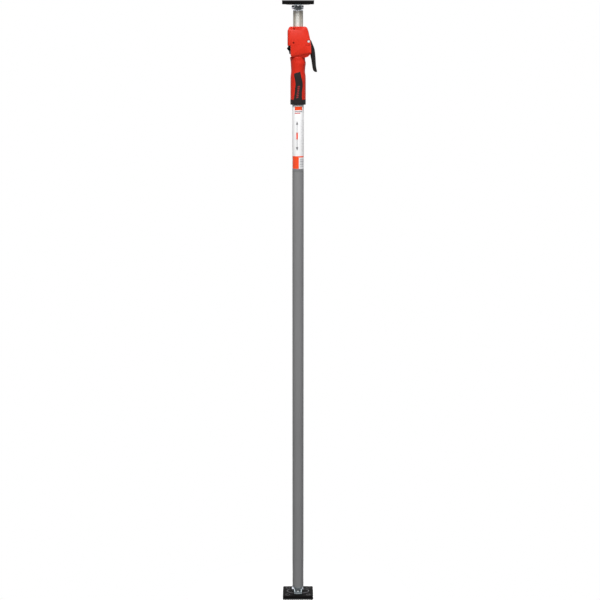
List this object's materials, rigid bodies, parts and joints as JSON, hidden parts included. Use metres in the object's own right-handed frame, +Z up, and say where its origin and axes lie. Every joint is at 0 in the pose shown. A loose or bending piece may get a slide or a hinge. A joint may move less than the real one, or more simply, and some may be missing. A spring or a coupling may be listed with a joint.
{
  "type": "telescopic drywall support pole",
  "caption": "Slim telescopic support pole with tilting square end plates, a pistol-style pump lever, a thumb release and a hand grip, for propping boards to a ceiling.",
  "frame": {"origin": "on the tube axis, at the lower face of the foot's rubber pad", "axes": "+Z up along the pole, +X towards the pump lever, the front at -Y"},
  "size_m": [0.0905, 0.0822, 1.6],
  "materials": {
    "black_rubber": "matt moulded rubber",
    "black_plastic": "fine moulded grain",
    "zinc_steel": "zinc plated, bluish",
    "zinc_bright": "bright zinc plated",
    "grey_paint": "satin powder coat",
    "label_film": "printed film",
    "guide_plastic": "natural acetal",
    "grip_red": "satin red",
    "housing_red": "satin red",
    "grip_rubber": "soft-touch rubber",
    "lever_black": "satin black",
    "polished_steel": "polished",
    "hard_steel": "hardened, dull",
    "spring_steel": "bright wire",
    "bright_tube": "bright galvanised"
  },
  "bodies": {
    "foot": {"foot_pad": "black_rubber", "foot_plate": "black_plastic", "foot_bracket": "zinc_steel", "foot_rivets": "zinc_bright", "foot_bolt": "zinc_bright", "foot_nut": "zinc_bright"},
    "pole": {"foot_fitting": "zinc_steel", "foot_fitting_pin": "zinc_bright", "outer_tube": "grey_paint", "label_sleeve": "label_film", "upper_guide_bush": "guide_plastic", "chassis": "zinc_steel", "grip": "grip_red", "grip_inlay": "grip_rubber", "grip_collar": "grip_rubber", "housing_front": "housing_red", "housing_back": "housing_red", "housing_screws": "zinc_bright", "lever_pin": "polished_steel", "lever_pin_clip": "spring_steel", "release_pin": "polished_steel", "drive_spring": "spring_steel", "brake_spring": "spring_steel", "release_spring": "spring_steel"},
    "lever": {"pump_lever": "lever_black"},
    "drive": {"drive_plate": "hard_steel"},
    "brake": {"brake_plates": "hard_steel"},
    "release": {"release_lever": "lever_black"},
    "slider": {"inner_guide": "guide_plastic"},
    "inner": {"inner_tube": "bright_tube", "head_fitting": "zinc_steel", "head_fitting_pin": "zinc_bright"},
    "head": {"head_bracket": "zinc_steel", "head_rivets": "zinc_bright", "head_bolt": "zinc_bright", "head_nut": "zinc_bright", "head_plate": "black_plastic", "head_pad": "black_rubber"}
  },
  "joints": [
    {"name": "foot_tilt", "type": "hinge", "parent": "foot", "child": "pole", "pos_m": [0, 0, 0.0175], "axis": [1, 0, 0], "range_deg": [-40, 40]},
    {"name": "extend", "type": "slide", "parent": "pole", "child": "slider", "axis": [0, 0, 1], "range_m": [0, 1.4]},
    {"name": "turn", "type": "hinge", "parent": "slider", "child": "inner", "pos_m": [0, 0, 1], "axis": [0, 0, 1], "continuous": true},
    {"name": "head_tilt", "type": "hinge", "parent": "inner", "child": "head", "pos_m": [0, 0, 1.5825], "axis": [1, 0, 0], "range_deg": [-40, 40]},
    {"name": "lever_squeeze", "type": "hinge", "parent": "pole", "child": "lever", "pos_m": [0.0272, 0, 1.4958], "axis": [0, 1, 0], "range_deg": [0, 15], "stiffness_Nm_per_rad": 1, "springref_deg": -14.32},
    {"name": "drive_lift", "type": "slide", "parent": "pole", "child": "drive", "axis": [0, 0, 1], "range_m": [0, 0.0028], "deforming": ["drive_spring"]},
    {"name": "release_press", "type": "hinge", "parent": "pole", "child": "release", "pos_m": [-0.0182, 0, 1.47], "axis": [0, 1, 0], "range_deg": [0, 12], "stiffness_Nm_per_rad": 0.3, "springref_deg": -14.32, "deforming": ["release_spring"]},
    {"name": "brake_ease", "type": "hinge", "parent": "pole", "child": "brake", "pos_m": [0.016, 0, 1.4832], "axis": [0, 1, 0], "range_deg": [0, 1.2], "deforming": ["brake_spring"]}
  ],
  "couplings": [
    {"joint": "drive_lift", "follows": "lever_squeeze", "m_per_rad": 0.0105},
    {"joint": "brake_ease", "follows": "release_press", "ratio": 0.0917}
  ]
}
